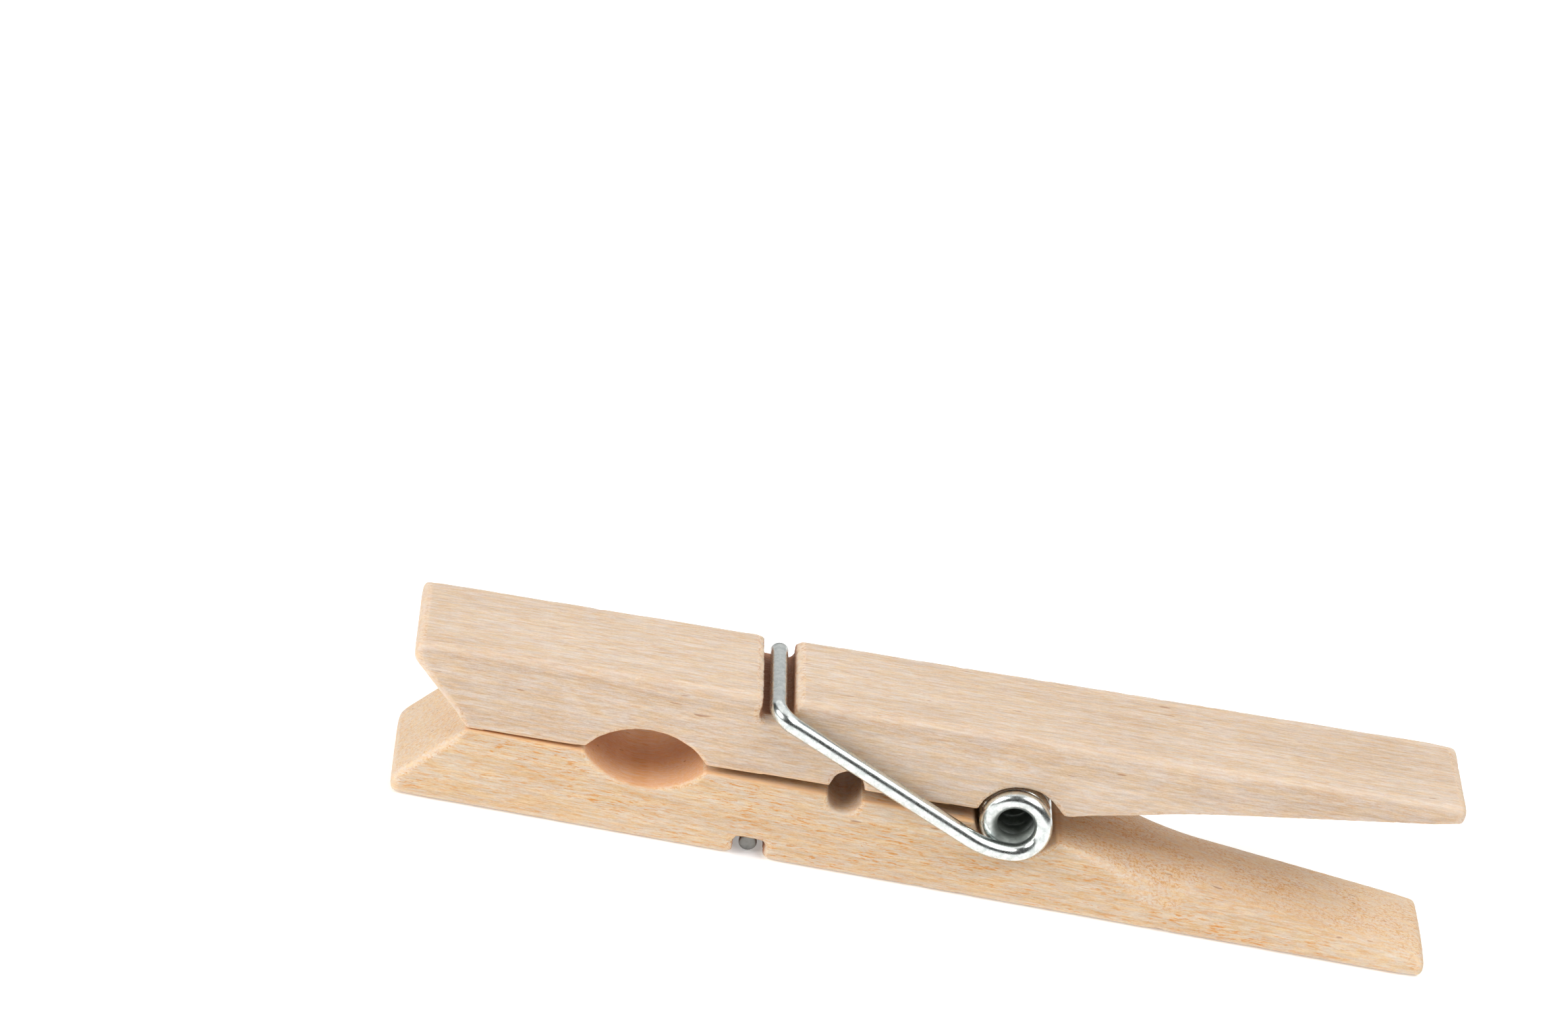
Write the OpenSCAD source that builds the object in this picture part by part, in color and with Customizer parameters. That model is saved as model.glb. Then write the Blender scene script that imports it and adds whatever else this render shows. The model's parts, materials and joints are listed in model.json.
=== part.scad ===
// Spring clothespin: two identical wooden prongs, one turned over onto the other,
// pivoting on the coil of one bent-wire torsion spring.
// Frame: the lower prong's outer face lies on Z = 0, the jaws point to -X, the handles
// to +X, and the origin is below the middle of the whole clothespin. Sizes are in mm.

/* [Prongs] */
// Length of each prong
prong_length = 72; // [60:1:90]
// Width of each prong
prong_width = 9.2; // [7.5:0.1:12]
// Thickness of each prong from its outer face to its inner face
prong_thickness = 6; // [5:0.1:8]
// Thickness left at the end of the handle
handle_end = 1.6; // [1:0.1:3]
// Radius planed onto the long outer edges
edge_radius = 0.5; // [0.2:0.1:0.8]

/* [Jaws] */
// Height of the blunt flat at the tip
tip_flat = 1.5; // [0.8:0.1:2.5]
// Length of the sloping lead-in behind the tip
lead_in = 4.3; // [2:0.1:6]
// Distance from the tip to the middle of the line hole
line_hole_at = 16.5; // [14:0.1:18]
// Radius of the hollow that holds the clothes line
line_hole_radius = 5.4; // [4:0.1:6.5]
// Depth of that hollow in each prong
line_hole_depth = 1.95; // [1:0.05:2.5]
// Distance from the tip to the small half-round inner groove
inner_groove_at = 30.3; // [27:0.1:33]
// Radius of the small inner groove
inner_groove_radius = 1.15; // [0.6:0.05:1.6]
// Gap left between the closed jaws, so that they meet without biting
jaw_gap = 0.05; // [0.02:0.01:0.2]

/* [Spring] */
// Diameter of the spring wire
wire = 1.25; // [1:0.05:1.5]
// Outer diameter of the coil
coil_diameter = 5; // [4:0.1:6]
// Distance from the tip to the middle of the coil
coil_at = 42; // [38:0.1:46]
// Distance from the tip to the middle of the wire's bar in the outer groove
bar_at = 24.65; // [21:0.1:27]
// Distance that the bar stops short of the prong's far side
bar_inset = 0.9; // [0.3:0.1:2]
// Radius of the wire's bend from the bar to the arm, on its centre line
bend_radius = 1.3; // [1.1:0.1:2]
// Radius of the easy curve by which an arm runs into the coil
sweep_radius = 7; // [4:0.5:10]
// Gap between neighbouring turns
turn_gap = 0.01; // [0.01:0.01:0.2]
// Least gap between the spring's arms and the sides of the prongs
side_clearance = 0.12; // [0.05:0.01:0.5]

/* [Seat and groove] */
// Gap between the prongs' inner faces at the coil when the jaws are closed
coil_gap = 1; // [0.6:0.1:1.6]
// Gap between the coil and the seat in each prong
seat_clearance = 0.08; // [0.02:0.01:0.1]
// How much larger the seat's radius is than the coil's
seat_ease = 0.6; // [0.3:0.05:1]
// How far the seat's middle lies towards the handle from the coil's
seat_shift = 0.2; // [0:0.05:0.25]
// Distance from the coil to where the handle's inner slope starts
slope_from = 3.4; // [3:0.1:4.5]
// Depth of the handle's inner slope where it starts
slope_step = 0.5; // [0.2:0.1:1]
// Gap on each side of the bar in the outer groove
groove_side_gap = 0.42; // [0.1:0.02:0.6]
// Gap under the bar in the outer groove
groove_floor_gap = 0.15; // [0.02:0.01:0.3]
// Depth of the bar's top below the outer face
bar_sunk = 0.1; // [0:0.05:0.5]
// Radius of the relief worn where the wire leaves the groove
groove_relief = 0.5; // [0.3:0.05:0.8]

/* [Hidden] */

// Everything below is placed from the coil's axis, with the upper prong drawn level.
tip_x = -coil_at;
end_x = prong_length - coil_at;
inner_z = coil_gap / 2;
outer_z = inner_z + prong_thickness;
closed_tilt = atan((coil_gap - jaw_gap) / (coil_at - lead_in));

coil_radius = coil_diameter / 2;
turn_radius = coil_radius - wire / 2;
pitch = wire + turn_gap;
turns = ceil((prong_width + wire + 2 * side_clearance) / pitch - 0.5) + 0.5;
coil_half = turns * pitch / 2;

seat_radius = coil_radius + seat_ease;
seat_offset = seat_ease - seat_clearance;
seat_z = -sqrt(pow(seat_offset, 2) - pow(seat_shift, 2));

bar_x = tip_x + bar_at;
groove_width = wire + 2 * groove_side_gap;
groove_depth = bar_sunk + wire + groove_floor_gap;
groove_floor_z = outer_z - groove_depth;
bar_z = groove_floor_z + groove_floor_gap + wire / 2;

// The arm's line runs from the bar and is tangent to the sweep circle above the coil's
// lowest point.
sweep_z = sweep_radius - turn_radius;
bar_reach = norm([bar_x, bar_z - sweep_z]);
bar_bearing = atan2(bar_z - sweep_z, bar_x);
arm_slope = 270 - bar_bearing - acos(sweep_radius / bar_reach);
arm_length = sqrt(pow(bar_reach, 2) - pow(sweep_radius, 2));
sweep_length = sweep_radius * arm_slope * PI / 180;
helix_slope = pitch / (2 * PI * turn_radius);
arm_y = -coil_half - helix_slope * sweep_length / 2;

// The box of the closed clothespin along X sets the origin.
box_low_x = tip_x * cos(closed_tilt) - outer_z * sin(closed_tilt);
pivot_x = -(box_low_x + end_x) / 2;
pivot_z = outer_z;

overcut = 1;
wire_sides = 12;
turn_steps = 18;
bend_steps = 6;
sweep_steps = 5;
end_gap = 0.05;
$fn = 64;

wood_pale = [0.87, 0.74, 0.60];
wood_warm = [0.85, 0.67, 0.49];
zinc = [0.72, 0.75, 0.74];

// ---- prongs ----

// Side view of a prong: x along it, y up from the coil's axis.
module prong_outline() {
    difference() {
        polygon([
            [tip_x, outer_z],
            [tip_x, outer_z - tip_flat],
            [tip_x + lead_in, inner_z],
            [slope_from, inner_z],
            [slope_from, inner_z + slope_step],
            [end_x, outer_z - handle_end],
            [end_x, outer_z],
        ]);
        line_hollow();
        inner_groove();
        coil_seat();
        outer_groove();
    }
}

module line_hollow() {
    translate([tip_x + line_hole_at, inner_z + line_hole_depth - line_hole_radius])
        circle(r = line_hole_radius);
}

module inner_groove() {
    translate([tip_x + inner_groove_at, inner_z])
        circle(r = inner_groove_radius);
}

// The round seat, and the straight ramp at 45 degrees that eases it into the handle.
module coil_seat() {
    ramp_top = seat_radius * sin(45);
    ramp_foot = inner_z + slope_step - seat_z;
    translate([seat_shift, seat_z]) {
        circle(r = seat_radius);
        polygon([
            [0, 0],
            [ramp_top, ramp_top],
            [2 * ramp_top - ramp_foot, ramp_foot],
            [slope_from + overcut, ramp_foot],
            [slope_from + overcut, 0],
        ]);
    }
}

module outer_groove() {
    translate([bar_x - groove_width / 2, groove_floor_z])
        square([groove_width, groove_depth + overcut]);
}

// End view of a prong with its two outer edges rounded, x up and y across.
module prong_section() {
    middle = prong_width / 2 - edge_radius;
    translate([0, -prong_width / 2])
        square([outer_z - edge_radius, prong_width]);
    translate([0, -middle])
        square([outer_z, 2 * middle]);
    for (side = [-1, 1])
        translate([outer_z - edge_radius, side * middle])
            circle(r = edge_radius);
}

// A prong drawn as the upper one, level, with the coil's axis at the origin.
module prong() {
    difference() {
        intersection() {
            rotate([90, 0, 0])
                linear_extrude(height = prong_width + 2 * overcut, center = true)
                    prong_outline();
            translate([end_x + overcut, 0, 0])
                rotate([0, -90, 0])
                    linear_extrude(height = prong_length + 2 * overcut)
                        prong_section();
        }
        translate([bar_x - groove_width / 2, -prong_width / 2, groove_floor_z])
            rotate([0, 90, 0])
                cylinder(r = groove_relief, h = groove_width);
    }
}

// ---- spring wire ----

// A station is [centre, first axis, second axis] of one round section of the wire.
function section_at(s) = [
    for (k = [0:wire_sides - 1])
        let (turn = 360 * k / wire_sides)
            s[0] + wire / 2 * (cos(turn) * s[1] + sin(turn) * s[2])
];

module wire_through(stations) {
    last = len(stations) - 1;
    sides = wire_sides;
    points = [for (s = stations) each section_at(s)];
    near_end = [for (k = [0:sides - 1]) k];
    far_end = [for (k = [0:sides - 1]) last * sides + sides - 1 - k];
    skin = [
        for (i = [0:last - 1], k = [0:sides - 1])
            let (
                a = i * sides + k,
                b = i * sides + (k + 1) % sides,
                c = b + sides,
                d = a + sides
            )
                each [[a, c, b], [a, d, c]]
    ];
    polyhedron(points = points, faces = concat([near_end, far_end], skin));
}

// A section whose wire runs in the XZ plane, climbing at the angle given.
function level_station(centre, climb) = [
    centre, [-sin(climb), 0, cos(climb)], [0, -1, 0]
];

function coil_station(turn) = level_station(
    [turn_radius * sin(turn), -coil_half + pitch * turn / 360, -turn_radius * cos(turn)],
    turn
);

// The bend from the bar, along Y, into the arm, which falls at arm_slope towards the coil.
function bend_station(turn) =
    let (
        arm = [cos(arm_slope), 0, -sin(arm_slope)],
        up = [sin(arm_slope), 0, cos(arm_slope)],
        across = [0, 1, 0],
        out = bend_radius * (1 - cos(turn)),
        y = arm_y + bend_radius * (1 - sin(turn))
    )
        [
            [bar_x, y, bar_z] + out * arm,
            up,
            -sin(turn) * across - cos(turn) * arm
        ];

function sweep_station(climb) =
    let (
        share = -climb / arm_slope,
        y = -coil_half - helix_slope * sweep_length * (share - share * share / 2)
    )
        level_station(
            [sweep_radius * sin(climb), y, sweep_z - sweep_radius * cos(climb)], climb
        );

// One arm, drawn as the upper one with the upper prong level: bar, bend, arm and sweep.
module spring_arm() {
    start = bend_station(0);
    bar_end = [bar_x, prong_width / 2 - bar_inset, bar_z];
    wire_through(concat(
        [[bar_end, start[1], start[2]]],
        [for (i = [0:bend_steps]) bend_station(90 * i / bend_steps)],
        [for (i = [0:sweep_steps]) sweep_station(-arm_slope * (1 - i / sweep_steps))]
    ));
}

// ---- placing ----

module from_coil_axis() {
    translate([pivot_x, 0, pivot_z]) children();
}

module as_upper() {
    from_coil_axis() rotate([0, -closed_tilt, 0]) children();
}

// The lower prong and arm are the upper ones turned over, end for end alike.
module as_lower() {
    from_coil_axis() rotate([180, 0, 0]) children();
}

module upper_prong() {
    color(wood_pale) as_upper() prong();
}

module lower_prong() {
    color(wood_warm) as_lower() prong();
}

module spring_upper_arm() {
    color(zinc) as_upper() spring_arm();
}

module spring_lower_arm() {
    color(zinc) as_lower() spring_arm();
}

// The coil starts a hair after the upper arm, because that arm turns with its prong.
module spring_coil() {
    first = closed_tilt + end_gap / turn_radius * 180 / PI;
    last = turns * 360;
    steps = ceil(turns * turn_steps);
    color(zinc) from_coil_axis() wire_through(
        [for (i = [0:steps]) coil_station(first + (last - first) * i / steps)]
    );
}

upper_prong();
lower_prong();
spring_coil();
spring_upper_arm();
spring_lower_arm();
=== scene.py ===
import json
import math

import bpy
import numpy as np
from mathutils import Matrix, Quaternion, Vector, noise


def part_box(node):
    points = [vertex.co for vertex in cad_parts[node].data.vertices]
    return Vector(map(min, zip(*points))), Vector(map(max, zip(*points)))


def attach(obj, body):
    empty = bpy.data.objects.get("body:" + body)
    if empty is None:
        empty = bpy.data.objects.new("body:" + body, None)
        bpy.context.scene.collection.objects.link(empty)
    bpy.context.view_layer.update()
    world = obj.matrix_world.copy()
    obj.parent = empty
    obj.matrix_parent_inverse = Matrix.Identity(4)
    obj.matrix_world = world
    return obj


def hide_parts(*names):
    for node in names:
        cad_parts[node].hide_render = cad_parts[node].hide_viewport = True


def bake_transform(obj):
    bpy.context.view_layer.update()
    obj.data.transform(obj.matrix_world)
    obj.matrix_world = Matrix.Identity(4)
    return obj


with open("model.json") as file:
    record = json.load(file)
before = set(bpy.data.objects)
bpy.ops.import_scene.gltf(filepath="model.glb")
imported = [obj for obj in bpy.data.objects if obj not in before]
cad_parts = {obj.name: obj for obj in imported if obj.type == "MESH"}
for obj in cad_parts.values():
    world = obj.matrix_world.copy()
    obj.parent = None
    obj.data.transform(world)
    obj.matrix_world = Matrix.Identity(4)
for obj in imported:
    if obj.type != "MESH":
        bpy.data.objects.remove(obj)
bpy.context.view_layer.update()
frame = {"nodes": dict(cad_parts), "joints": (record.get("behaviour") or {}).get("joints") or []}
scene = bpy.context.scene
MM = 0.001
pivot = Vector(frame["joints"][0]["pos_m"])


# ---- camera ----
# The clothespin is seen from its open side, from above and a little towards the jaws,
# through a long lens, with the picture tipped so that the handles run down to the right.

LENS = 139.2
SENSOR = 36.0
AZIMUTH, ELEVATION, ROLL = math.radians(-5.56), math.radians(26.7), math.radians(13.06)
DISTANCE = 442.5 * MM
AIM = Vector((-10.3, 33.8, 7.0)) * MM


def toward(azimuth, elevation):
    """The direction from the object to something at that azimuth and elevation."""
    flat = math.cos(elevation)
    return Vector((math.sin(azimuth) * flat, -math.cos(azimuth) * flat, math.sin(elevation)))


camera = bpy.data.objects.new("camera", bpy.data.cameras.new("camera"))
scene.collection.objects.link(camera)
scene.camera = camera
camera.data.lens, camera.data.sensor_width = LENS, SENSOR
camera.data.clip_start, camera.data.clip_end = 0.02, 50
back = toward(AZIMUTH, ELEVATION)
camera.location = AIM + back * DISTANCE
camera.rotation_mode = "QUATERNION"
camera.rotation_quaternion = back.to_track_quat("Z", "Y") @ Quaternion((0, 0, 1), ROLL)


# ---- prongs ----
# Two identical birch prongs, moulded as a strip, sawn off, grooved across and tumbled, so
# that every edge is soft. One is turned over on the other. The lower one is warmer wood.

GRAIN_STEP = 0.16          # spacing of the carved surface, mm
TUMBLING = 9               # passes of rounding
SAWN_ROUNDING = 0.06       # how much of it reaches into the sawn outer groove
HOLLOW_ROUNDING = 0.35     # and into the line hole and coil seat
CONTACT_ROUNDING = 0.06    # and along the faces where the jaws meet
EDGE_ROLL = 0.5            # how far the handle's sides turn in, as a share of its crown
WOBBLE = 0.03              # how far faces stray from flat, mm
FIBRE_RELIEF = 0.012       # height of the raised fibres, mm
TEAR_DEPTH = 0.13          # depth of the torn fibres in the sawn groove, mm
NICK_DEPTH = 0.09          # depth of the dents along the edges, mm
END_WEAR = 12              # more passes at the handle's end and the jaw's tip
GLOW, GLOW_DEPTH = 0.22, 0.9       # light that soaks into the wood, and how deep, mm
HANDLE_FROM, HANDLE_THICK, END_THICK = 3.4, 5.5, 1.6    # the handle's taper, mm


def dense_copy(node, name):
    """A copy of a CAD piece in millimetres, rebuilt as small even faces."""
    piece = bpy.data.objects.new(name, frame["nodes"][node].data.copy())
    scene.collection.objects.link(piece)
    piece.data.transform(Matrix.Scale(1 / MM, 4))
    rebuild = piece.modifiers.new("rebuild", "REMESH")
    rebuild.mode = "VOXEL"
    rebuild.voxel_size = GRAIN_STEP
    seen = piece.evaluated_get(bpy.context.evaluated_depsgraph_get())
    piece.data = bpy.data.meshes.new_from_object(seen)
    piece.modifiers.clear()
    piece.data.materials.clear()
    return piece


def read(mesh, what, width, kind=float):
    """One property of all the mesh's parts, such as ("vertices", "co"), as an array."""
    values = np.zeros(len(getattr(mesh, what[0])) * width, kind)
    getattr(mesh, what[0]).foreach_get(what[1], values)
    return values.reshape(-1, width) if width > 1 else values


def paint(mesh, **masks):
    """Each mask stored at the mesh's points, for its material to use."""
    for name, values in masks.items():
        mesh.attributes.new(name, "FLOAT", "POINT").data.foreach_set(
            "value", values.astype(np.float32)
        )


def smoothed(points, edges, weight, passes):
    """Points drawn towards their neighbours' mean, by weight, that many times."""
    count = len(points)
    a, b = edges.T
    degree = np.bincount(edges.ravel(), minlength=count)[:, None]
    for _ in range(passes):
        total = np.stack([
            np.bincount(a, points[b, k], count) + np.bincount(b, points[a, k], count)
            for k in range(3)
        ], 1)
        points = points + weight[:, None] * (total / degree - points)
    return points


def noise_at(points, scale, seed):
    """Smooth noise, about -1 to 1, at points scaled along each axis."""
    shift = Vector((seed * 7.3, seed * 3.1, seed * 5.7))
    scaled = points * np.array(scale)
    return np.array([noise.noise(Vector(p) + shift) for p in scaled])


def smoothstep(low, high, x):
    """0 below low, 1 above high and smooth between."""
    t = np.clip((x - low) / (high - low), 0, 1)
    return t * t * (3 - 2 * t)


def within(reach, margin, x):
    """1 where x is short of reach by the margin or more, and 0 from reach on."""
    return smoothstep(reach, reach - margin, x)


lower_low, lower_high = (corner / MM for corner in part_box("lower_prong"))
coil_low, coil_high = (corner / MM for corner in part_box("spring_coil"))
arm_low, arm_high = (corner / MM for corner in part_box("spring_lower_arm"))
pivot_mm = pivot / MM
TIP = lower_low.x - pivot_mm.x
END = lower_high.x - pivot_mm.x
HALF_WIDTH = lower_high.y
OUTER = pivot_mm.z
TILT = math.radians(1.4435)  # how far the closed upper prong's handle end is raised
GROOVE_AT = -17.35         # outer groove's middle from the coil's axis, mm
GROOVE_HALF = 1.05         # half of its width
GROOVE_FLOOR = OUTER - 1.5
INNER = OUTER - 6.0        # contact face
HOLLOW_AT, HOLLOW_HALF, HOLLOW_DEPTH = TIP + 16.5, 5.0, 2.7    # line hole, with its lips
NOTCH_AT, NOTCH_HALF, NOTCH_DEPTH = TIP + 30.3, 1.5, 1.6       # small inner groove
SEAT_HALF, SEAT_DEPTH = 3.9, 3.6                               # coil seat
CROWN_FROM, CROWN_FULL = 3, 14     # where along the handle its crown starts and is full


def own_frame(turned):
    """Rotation from the prong's own axes (along, across, outwards from the coil) to the frame."""
    if turned:
        return Matrix.Rotation(math.pi, 3, "X")
    return Matrix.Rotation(-TILT, 3, "Y")


def carve_prong(node, body, turned, seed, near_crown, far_crown):
    """The mesh of a worn prong. Its handle's inner edges fall away by the crowns, in mm."""
    piece = dense_copy(node, node + "_wood")
    mesh = piece.data
    turn = np.array(own_frame(turned))
    points = (read(mesh, ("vertices", "co"), 3) - np.array(pivot_mm)) @ turn
    edges = read(mesh, ("edges", "vertices"), 2, np.int32)

    along, across, outward = points.T
    height = outward - INNER
    in_groove = (
        within(GROOVE_HALF + 0.6, 0.4, abs(along - GROOVE_AT))
        * smoothstep(GROOVE_FLOOR - 0.5, GROOVE_FLOOR - 0.1, outward)
    )
    in_hollow = (
        within(HOLLOW_HALF, 0.6, abs(along - HOLLOW_AT)) * within(HOLLOW_DEPTH, 0.5, height)
    )
    in_seat = within(SEAT_HALF, 0.7, abs(along)) * within(SEAT_DEPTH, 0.6, outward)
    in_notch = (
        within(NOTCH_HALF, 0.25, abs(along - NOTCH_AT)) * within(NOTCH_DEPTH, 0.25, height)
    )
    gentle = np.maximum(in_hollow, in_seat)
    at_contact = within(0.9, 0.4, height) * within(7, 2, along)
    weight = 1 - (1 - HOLLOW_ROUNDING) * gentle
    weight = np.minimum(weight, 1 - (1 - CONTACT_ROUNDING) * at_contact)
    below_lip = within(OUTER - 0.1, 0.4, outward)
    weight = weight * (1 - (1 - SAWN_ROUNDING) * in_groove * below_lip)
    soft = smoothed(points, edges, weight, TUMBLING)
    at_ends = 0.8 * smoothstep(END - 2.2, END - 0.9, along) + 0.2 * within(TIP + 1.8, 1.1, along)
    soft = smoothed(soft, edges, at_ends, END_WEAR)
    worn = np.linalg.norm(soft - points, axis=1)
    edge = smoothstep(0.02, 0.12, worn)

    # The handle's inner face falls away to its sides, as moulding and tumbling leave it.
    along, across, outward = soft.T
    run = np.clip((along - HANDLE_FROM) / (END - HANDLE_FROM), 0, 1)
    thick = HANDLE_THICK + (END_THICK - HANDLE_THICK) * run
    inner = smoothstep(0, 1, (OUTER - outward) / thick) * smoothstep(CROWN_FROM, CROWN_FULL, along)
    side = np.clip(abs(across) / HALF_WIDTH, 0, 1)
    is_near = (across > 0) == turned
    crown = np.where(is_near, near_crown, far_crown) * np.clip((thick - 0.5) / 4, 0, 1)
    soft[:, 2] += crown * inner * side ** 2
    soft[:, 1] -= EDGE_ROLL * crown * inner ** 2 * side ** 3 * np.sign(across)
    edge = edge * (1 - 0.85 * inner)

    mesh.vertices.foreach_set("co", soft.ravel())
    mesh.update()
    normals = read(mesh, ("vertices", "normal"), 3)

    wander = noise_at(soft, (0.08, 0.15, 0.15), seed)
    fibres = noise_at(soft, (0.25, 3.2, 3.2), seed + 1)
    tear = noise_at(soft, (0.9, 2.4, 2.6), seed + 2) + 0.5 * noise_at(soft, (2, 5, 5), seed + 3)
    dents = smoothstep(0.2, 0.55, noise_at(soft, (1.1, 1.7, 1.7), seed + 4))
    depth = (
        WOBBLE * (wander - 0.7)
        + FIBRE_RELIEF * fibres
        - NICK_DEPTH * dents * edge
        - TEAR_DEPTH * abs(tear) * in_groove
        - 0.35 * TEAR_DEPTH * abs(tear) * gentle * edge
    )
    shaped = soft + normals * depth[:, None]
    placed = (shaped @ turn.T + np.array(pivot_mm)) * MM
    mesh.vertices.foreach_set("co", placed.ravel())
    sideways = within(0.9, 0.4, abs(normals[:, 1]))
    contact = smoothstep(INNER + 0.05, INNER + 0.2, soft[:, 2])
    # Painted shade on the walls of the sawn outer groove and the small notch, with some darker sawn
    # end grain.
    sawn = np.maximum(in_groove * below_lip, 0.32 * in_notch * contact) * sideways
    # Painted shade, with some burnish, on the walls of the line hole and coil seat.
    bored = np.maximum(in_hollow * contact, 0.6 * in_seat) * sideways
    rim = smoothstep(HALF_WIDTH - 0.8, HALF_WIDTH - 0.15, abs(soft[:, 1]))
    # Painted glow of light along the contact faces at the sides, where the jaws meet.
    joined = within(INNER + 0.2, 0.12, soft[:, 2]) * rim
    paint(mesh, edge=edge, sawn=sawn, bored=bored, joined=joined)
    mesh.shade_smooth()
    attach(piece, body)
    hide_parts(node)
    return mesh


class Field:
    """A value that varies over a surface: one socket of a material's nodes."""

    def __init__(self, tree, socket=None):
        self.tree, self.socket = tree, socket

    def node(self, kind, settings=(), inputs=(), output=0):
        """Any node: its settings first, then the values or links of its sockets."""
        made = self.tree.nodes.new("ShaderNode" + kind)
        for name, value in dict(settings).items():
            setattr(made, name, value)
        for name, value in dict(inputs).items():
            if isinstance(value, Field):
                self.tree.links.new(value.socket, made.inputs[name])
            else:
                made.inputs[name].default_value = value
        return Field(self.tree, made.outputs[output])

    def mask(self, name):
        """A mask painted on the mesh."""
        return self.node("Attribute", {"attribute_name": name}, {}, "Fac")

    def maths(self, operation, *values):
        return self.node("Math", {"operation": operation}, enumerate(values))

    def __add__(self, other):
        return self.maths("ADD", self, other)

    __radd__ = __add__

    def __sub__(self, other):
        return self.maths("SUBTRACT", self, other)

    def __rsub__(self, other):
        return self.maths("SUBTRACT", other, self)

    def __mul__(self, other):
        return self.maths("MULTIPLY", self, other)

    __rmul__ = __mul__

    def step(self, low, high):
        """0 below low, 1 above high and smooth between; high may be the smaller."""
        settings = {"interpolation_type": "SMOOTHSTEP"}
        if low > high:
            return 1 - self.step(high, low)
        return self.node(
            "MapRange", settings, {"Value": self, "From Min": low, "From Max": high}
        )

    def scaled(self, factors):
        return self.node("VectorMath", {"operation": "MULTIPLY"}, {0: self, 1: factors})

    def moved(self, offset):
        return self.node("VectorMath", {"operation": "ADD"}, {0: self, 1: offset})

    def noise(self, factors, detail=2.0, roughness=0.5, warp=0.0):
        """Noise of this vector scaled by the factors, 0 to 1."""
        return self.node("TexNoise", {}, {
            "Vector": self.scaled(factors), "Scale": 1.0, "Detail": detail,
            "Roughness": roughness, "Distortion": warp,
        })

    def between(self, low, high, blend="MIX"):
        """The colour low where this field is 0 and high where it is 1."""
        colours = {
            key: (*value, 1) if isinstance(value, tuple) else value
            for key, value in ((6, low), (7, high))
        }
        return self.node(
            "Mix", {"data_type": "RGBA", "blend_type": blend}, {0: self, **colours}, 2
        )


def new_material(name):
    """(material, its first field, its main shader) with the shader wired to the output."""
    material = bpy.data.materials.new(name)
    material.use_nodes = True
    tree = material.node_tree
    shader = tree.nodes["Principled BSDF"]
    return material, Field(tree), shader


def feed(shader, **fields):
    """Wire fields to the shader's sockets of the same names."""
    for name, field in fields.items():
        socket = shader.inputs[name.replace("_", " ")]
        shader.id_data.links.new(field.socket, socket)


HOLLOW_BURNISH_AND_SHADE = (0.75, 0.34, 0.12)      # partly burnished by the cutter, partly painted shade and warm bounce light, in the line hole and seat
LIT_GAP = (0.86, 0.52, 0.27)       # painted glow of light in the thin gap between the jaws


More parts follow.
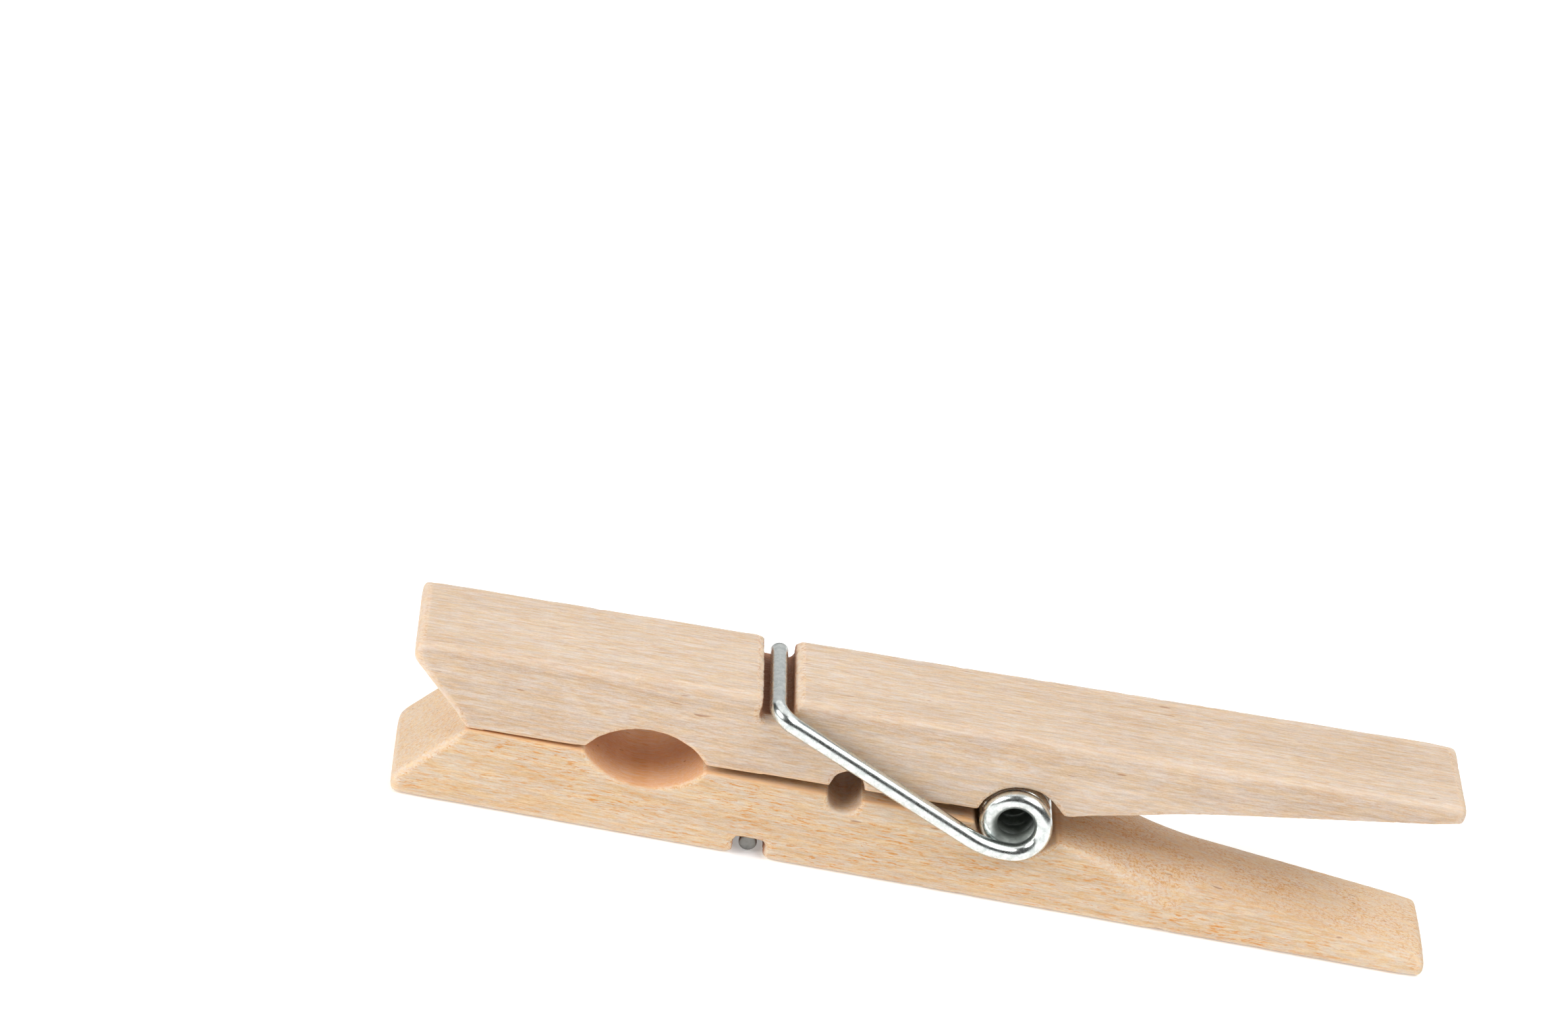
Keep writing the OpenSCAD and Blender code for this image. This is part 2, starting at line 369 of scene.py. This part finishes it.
def raw_wood(name, pale, deep, fleck, brown, sanded_and_highlight, tint, shift, strength):
    """Raw birch: rings and fibres along X, short ray flecks, mottled where it is cut across."""
    material, field, shader = new_material(name)
    place = field.node("TexCoord", {}, {}, "Object").scaled((1 / MM,) * 3).moved(shift)
    facing = field.node("SeparateXYZ", {}, {0: field.node("TexCoord", {}, {}, "Normal")}, "X")
    slant = facing.maths("ABSOLUTE", facing)
    sloped = slant.step(0.06, 0.14)
    end_grain = slant.step(0.3, 0.9)
    edge, sawn, bored, joined = map(field.mask, ("edge", "sawn", "bored", "joined"))

    wander = place.noise((0.03, 0.12, 0.12), 2) - 0.5
    across = place.node("SeparateXYZ", {}, {0: place}, "Y")
    depth = place.node("SeparateXYZ", {}, {0: place}, "Z") + across * 0.35 + wander * 6
    ring_place = place.node("CombineXYZ", {}, {"X": depth * 0.6})
    rings = ring_place.noise((1, 1, 1), 3, 0.6).step(0.36, 0.64)
    streaks = place.noise((0.16, 2.8, 2.8), 4, 0.7).step(0.38, 0.62)
    fibres = place.noise((0.65, 9, 9), 3, 0.7).step(0.38, 0.62)
    pores = place.noise((7, 15, 15), 2, 0.7).step(0.38, 0.62)
    clouds = place.noise((0.07, 0.2, 0.2), 2).step(0.38, 0.62)
    dashes = place.noise((1.15, 7.5, 7.5), 3, 0.65, 0.5).step(0.49, 0.68)
    dense = place.moved((3, 8, 1)).noise((0.14, 0.5, 0.5), 3).step(0.36, 0.62)
    shine = place.moved((9, 5, 2)).noise((1.0, 8, 8), 2, 0.6).step(0.55, 0.68)
    mottle = place.noise((4.2, 6.0, 6.0), 3, 0.8, 0.3).step(0.44, 0.64)
    patches = place.noise((0.35, 0.6, 0.6), 3).step(0.36, 0.58)
    warmth = place.moved((2, 7, 4)).noise((0.6, 4.2, 4.2), 3, 0.75).step(0.38, 0.62)
    stains = place.moved((6, 2, 9)).noise((0.55, 3.4, 3.4), 1, 0.5).step(0.73, 0.80)
    knots = place.node(
        "TexVoronoi", {}, {"Vector": place.scaled((0.06, 0.12, 0.12)), "Scale": 1.0}, "Distance"
    ).step(0.026, 0.012)

    grain = rings * 0.20 + fibres * 0.27 + streaks * 0.23 + clouds * 0.13 + pores * 0.17
    colour = grain.between(pale, deep)
    colour = (dashes * strength * (0.45 + 0.75 * dense) * (1 - sloped * 0.5)).between(colour, fleck)
    colour = (shine * 0.34 * (1 - sloped * 0.6)).between(colour, pale)
    colour = (sloped * 0.5).between(colour, sanded_and_highlight)
    colour = warmth.between(colour, tint, "MULTIPLY")
    speckle = sloped * mottle * (1 - 0.65 * end_grain) * (1 - 0.7 * edge) * (1 - 0.7 * bored)
    colour = (speckle * (0.35 + 0.45 * patches)).between(colour, fleck)
    colour = (end_grain * (0.06 + 0.12 * mottle)).between(colour, brown)
    # Painted highlight along the worn, rounded edges.
    colour = (edge * (1 - 0.7 * sloped) * 0.4).between(colour, sanded_and_highlight)
    # Painted shade and warm bounce light in the line hole and seat, partly real burnish.
    colour = (bored * (0.42 + 0.22 * fibres)).between(colour, HOLLOW_BURNISH_AND_SHADE)
    # Painted glow of light in the gap between the jaws.
    colour = (joined * 0.6).between(colour, LIT_GAP)
    # Painted shade in the sawn groove and notch, partly darker sawn end grain.
    colour = (sawn * (0.8 + 0.2 * fibres)).between(colour, brown)
    colour = (stains * 0.6).between(colour, brown)
    colour = (knots * 0.75).between(colour, brown)

    rough = 0.58 + 0.12 * fibres + 0.1 * end_grain - 0.06 * edge
    relief = 0.4 * fibres + 0.3 * streaks + 0.5 * mottle * sloped - 0.4 * dashes
    bump = field.node("Bump", {}, {"Height": relief, "Distance": 0.02 * MM, "Strength": 0.5})
    feed(shader, Base_Color=colour, Roughness=rough, Normal=bump)
    shader.inputs["Specular IOR Level"].default_value = 0.3
    shader.inputs["Subsurface Weight"].default_value = GLOW
    shader.inputs["Subsurface Radius"].default_value = (1.0, 0.45, 0.2)
    shader.inputs["Subsurface Scale"].default_value = GLOW_DEPTH * MM
    return material


upper = carve_prong(
    "upper_prong", "upper", turned=False, seed=1, near_crown=0.4, far_crown=1.2
)
lower = carve_prong(
    "lower_prong", "lower", turned=True, seed=6, near_crown=1.6, far_crown=1.0
)
upper.materials.append(raw_wood(
    "birch_pale", pale=(0.77, 0.67, 0.585), deep=(0.50, 0.37, 0.275), fleck=(0.54, 0.29, 0.14),
    brown=(0.33, 0.14, 0.07), sanded_and_highlight=(0.81, 0.68, 0.56), tint=(1.03, 0.93, 0.76),
    shift=(3.0, 11.0, 5.0), strength=0.34,
))
lower.materials.append(raw_wood(
    "birch_warm", pale=(0.79, 0.70, 0.59), deep=(0.56, 0.40, 0.265), fleck=(0.64, 0.30, 0.08),
    brown=(0.33, 0.13, 0.06), sanded_and_highlight=(0.82, 0.72, 0.61), tint=(1.05, 0.93, 0.72),
    shift=(41.0, 27.0, 33.0), strength=0.85,
))


# ---- spring ----
# One zinc-coated steel wire, coiled tight with an arm at each end. Each arm runs along its
# own side of the clothespin and hooks into the outer groove of one prong.

WIRE = 1.25                # mm
WIRE_SIDES = 28
WIRE_STEP = 0.28           # distance between rings along the wire, mm
SWEEP_RADIUS = 7.0         # curve in which an arm leaves the coil, mm
BEND_RADIUS = 1.3          # hook's bend, mm
BAR_INSET = 0.9            # how far the hook's end stops short of the far side, mm
WIRE_RELIEF = 0.006        # unevenness of the drawn wire, mm
TURNS = 8.5                # of the coil
# The cut end: distance along the wire, mm, and share of its radius there.
END_DOME = ((0.0, 1.0), (0.055, 0.94), (0.095, 0.80), (0.11, 0.55), (0.115, 0.25))

coil_half = -coil_low.y - WIRE / 2
turn_radius = (coil_high.z - coil_low.z - WIRE) / 2
bar_x = arm_low.x + WIRE / 2 - pivot_mm.x
bar_z = pivot_mm.z - arm_low.z - WIRE / 2
arm_y = -arm_high.y + WIRE / 2
sweep_z = SWEEP_RADIUS - turn_radius
reach = math.hypot(bar_x, sweep_z - bar_z)
slope = math.asin(SWEEP_RADIUS / reach) + math.atan2(bar_z - sweep_z, -bar_x)
helix_slope = 2 * coil_half / TURNS / (2 * math.pi * turn_radius)


def path_steps(length):
    """Shares from 0 to 1, as a column, for rings along that length."""
    return np.linspace(0, 1, max(3, round(length / WIRE_STEP)) + 1)[:, None]


def arm_path():
    """Centre line of one arm, from its cut end to the coil, on a level prong."""
    run = np.array((math.cos(slope), 0, -math.sin(slope)))
    bar_end = np.array((bar_x, HALF_WIDTH - BAR_INSET, bar_z))
    corner = np.array((bar_x, arm_y, bar_z))
    bend_start = corner + (0, BEND_RADIUS, 0)
    bar = bar_end + (bend_start - bar_end) * path_steps(bar_end[1] - bend_start[1])[:-1]
    turned = path_steps(2.2 * BEND_RADIUS * 2) * math.pi / 2
    bend = bend_start + BEND_RADIUS * (
        (1 - np.cos(turned)) * run - np.sin(turned) * np.array((0, 1, 0))
    )
    climb = -slope * (1 - path_steps(SWEEP_RADIUS * slope))
    left = -climb / slope
    slip = helix_slope * SWEEP_RADIUS * slope * (left - left ** 2 / 2)
    sweep = np.hstack([
        SWEEP_RADIUS * np.sin(climb),
        -coil_half - slip,
        sweep_z - SWEEP_RADIUS * np.cos(climb),
    ])
    straight = bend[-1] + (sweep[0] - bend[-1]) * path_steps(math.dist(bend[-1], sweep[0]))
    return np.vstack([bar, bend, straight[1:-1], sweep])


def wire_path():
    """Centre line of the whole wire, from the hook on the upper prong to the lower one's."""
    arm = arm_path()
    upper_arm = arm @ np.array(Matrix.Rotation(-TILT, 3, "Y")).T
    lower_arm = arm @ np.array(Matrix.Rotation(math.pi, 3, "X")).T
    along = path_steps(TURNS * 2 * math.pi * turn_radius)[1:-1]
    angle = TILT + along * (TURNS * 2 * math.pi - TILT)
    coil = np.hstack([
        turn_radius * np.sin(angle),
        coil_half * (2 * along - 1),
        -turn_radius * np.cos(angle),
    ])
    return np.vstack([upper_arm, coil, lower_arm[::-1]])


def swept_wire(path):
    """(points, faces) of a round wire along the path, with a slightly domed cut at each end."""
    ahead = np.gradient(path, axis=0)
    ahead /= np.linalg.norm(ahead, axis=1)[:, None]
    first = np.cross(ahead[0], (0, 0, 1.0))
    sides = [first / np.linalg.norm(first)]
    for direction in ahead[1:]:
        side = sides[-1] - direction * (sides[-1] @ direction)
        sides.append(side / np.linalg.norm(side))
    side = np.array(sides)
    other = np.cross(ahead, side)
    dome_length = END_DOME[-1][0]
    end = len(path) - 1
    rings = [(0, dome_length - length, share) for length, share in reversed(END_DOME)]
    rings += [(place, 0.0, 1.0) for place in range(1, end)]
    rings += [(end, length - dome_length, share) for length, share in END_DOME]
    around = np.linspace(0, 2 * math.pi, WIRE_SIDES, endpoint=False)[:, None]
    points = [
        path[place] + ahead[place] * beyond
        + WIRE / 2 * share * (np.cos(around) * side[place] + np.sin(around) * other[place])
        for place, beyond, share in rings
    ]
    points = np.vstack([*points, path[0], path[-1]])
    count = len(rings)
    faces = []
    for ring in range(count - 1):
        for k in range(WIRE_SIDES):
            a, b = ring * WIRE_SIDES + k, ring * WIRE_SIDES + (k + 1) % WIRE_SIDES
            faces.append((a, b, b + WIRE_SIDES, a + WIRE_SIDES))
    last = (count - 1) * WIRE_SIDES
    for k in range(WIRE_SIDES):
        following = (k + 1) % WIRE_SIDES
        faces.append((count * WIRE_SIDES, following, k))
        faces.append((count * WIRE_SIDES + 1, last + k, last + following))
    return points, faces


centre_line = wire_path()
points, faces = swept_wire(centre_line)
mesh = bpy.data.meshes.new("spring")
mesh.from_pydata(points.tolist(), [], faces)
mesh.update()
normals = read(mesh, ("vertices", "normal"), 3)
uneven = noise_at(points, (1.3, 1.3, 1.3), 12) * 0.6 + noise_at(points, (4, 4, 4), 13) * 0.4
shaped = points + normals * (WIRE_RELIEF * (uneven - 1))[:, None]
mesh.vertices.foreach_set("co", ((shaped + np.array(pivot_mm)) * MM).ravel())
mesh.update()
# Painted shade: the inner side of the coil's turns, to be darkened.
inside = within(turn_radius - 0.05, 0.4, np.hypot(points[:, 0], points[:, 2]))
inside *= within(coil_half + 0.1, 0.6, abs(points[:, 1]))
tips = np.minimum(
    np.linalg.norm(points - centre_line[0], axis=1), np.linalg.norm(points - centre_line[-1], axis=1)
)
sheared = within(0.72, 0.12, tips)
paint(mesh, bore=inside, sheared=sheared)
mesh.shade_smooth()
spring = bpy.data.objects.new("spring", mesh)
scene.collection.objects.link(spring)


def zinc_wire():
    """Zinc-coated steel: bright and uneven, duller and speckled where the coating is thin, with
    painted shade inside the coil.
    """
    material, field, shader = new_material("zinc_wire")
    place = field.node("TexCoord", {}, {}, "Object").scaled((1 / MM,) * 3)
    spangle = place.noise((2.2, 2.2, 2.2), 3, 0.6).step(0.35, 0.68)
    specks = place.noise((9, 9, 9), 2, 0.6).step(0.62, 0.75)
    drawn = place.noise((0.5, 6, 6), 3, 0.55).step(0.3, 0.7)
    colour = spangle.between((0.80, 0.83, 0.81), (0.60, 0.64, 0.63))
    colour = (specks * 0.5).between(colour, (0.36, 0.37, 0.35))
    bore, sheared = field.mask("bore"), field.mask("sheared")
    # Painted shade inside the coil.
    colour = (bore * 0.72).between(colour, (0.20, 0.22, 0.19))
    colour = (sheared * 0.85).between(colour, (0.20, 0.20, 0.19))
    rough = 0.21 + 0.08 * spangle + 0.16 * specks + 0.4 * bore + 0.3 * sheared
    relief = 0.5 * spangle + 0.35 * drawn - 0.6 * specks
    bump = field.node("Bump", {}, {"Height": relief, "Distance": 0.01 * MM, "Strength": 0.2})
    feed(shader, Base_Color=colour, Roughness=rough, Normal=bump)
    shader.inputs["Metallic"].default_value = 1.0
    return material


mesh.materials.append(zinc_wire())
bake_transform(spring)
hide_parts("spring_coil", "spring_upper_arm", "spring_lower_arm")


# ---- studio ----
# A bright white paper table that curves up behind, a large soft box overhead, a small one on
# the left that rakes along the side faces, and one to the right. The room beyond is dark.

PAPER_FRONT, PAPER_BACK, PAPER_SIDE = -1.6, 0.9, 1.6
PAPER_CURVE, PAPER_HEIGHT = 0.5, 1.3
PAPER_GLOW = 0.25
ROOM_GLOW = 0.03


def softbox(name, azimuth, elevation, distance, size, power):
    """A rectangular lamp facing the clothespin, placed in degrees and metres."""
    lamp = bpy.data.objects.new(name, bpy.data.lights.new(name, "AREA"))
    scene.collection.objects.link(lamp)
    lamp.data.shape = "RECTANGLE"
    lamp.data.size, lamp.data.size_y = size
    lamp.data.energy = power
    away = toward(math.radians(azimuth), math.radians(elevation))
    lamp.location = away * distance
    lamp.rotation_mode = "QUATERNION"
    lamp.rotation_quaternion = away.to_track_quat("Z", "Y")


def paper_sweep():
    """A table of paper with its far side curved up into a backdrop."""
    turned = np.linspace(0, math.pi / 2, 17)
    profile = [(PAPER_FRONT, 0.0), (0.0, 0.0)]
    profile += [
        (PAPER_BACK + PAPER_CURVE * math.sin(t), PAPER_CURVE * (1 - math.cos(t))) for t in turned
    ]
    profile.append((PAPER_BACK + PAPER_CURVE, PAPER_HEIGHT))
    corners = [(side, y, z) for y, z in profile for side in (-PAPER_SIDE, PAPER_SIDE)]
    faces = [(2 * k, 2 * k + 1, 2 * k + 3, 2 * k + 2) for k in range(len(profile) - 1)]
    mesh = bpy.data.meshes.new("floor")
    mesh.from_pydata(corners, [], faces)
    mesh.shade_smooth()
    paper = bpy.data.objects.new("floor", mesh)
    scene.collection.objects.link(paper)
    return paper


floor = paper_sweep()
paper, _, paper_shader = new_material("white_paper")
paper_shader.inputs["Base Color"].default_value = (0.95, 0.95, 0.95, 1)
paper_shader.inputs["Roughness"].default_value = 0.9
paper_shader.inputs["Emission Color"].default_value = (1, 1, 1, 1)
paper_shader.inputs["Emission Strength"].default_value = PAPER_GLOW
floor.data.materials.append(paper)

softbox("overhead", 185, 72, 0.95, (1.5, 1.2), 5.8)
softbox("left", -64, 30, 0.7, (0.35, 0.35), 3.1)
softbox("right", 52, 54, 0.9, (0.8, 0.5), 5.2)

world = bpy.data.worlds.new("room")
scene.world = world
world.use_nodes = True
room = world.node_tree.nodes["Background"]
room.inputs["Color"].default_value = (0.95, 1.0, 0.94, 1)
room.inputs["Strength"].default_value = ROOM_GLOW
scene.view_settings.view_transform = "Standard"
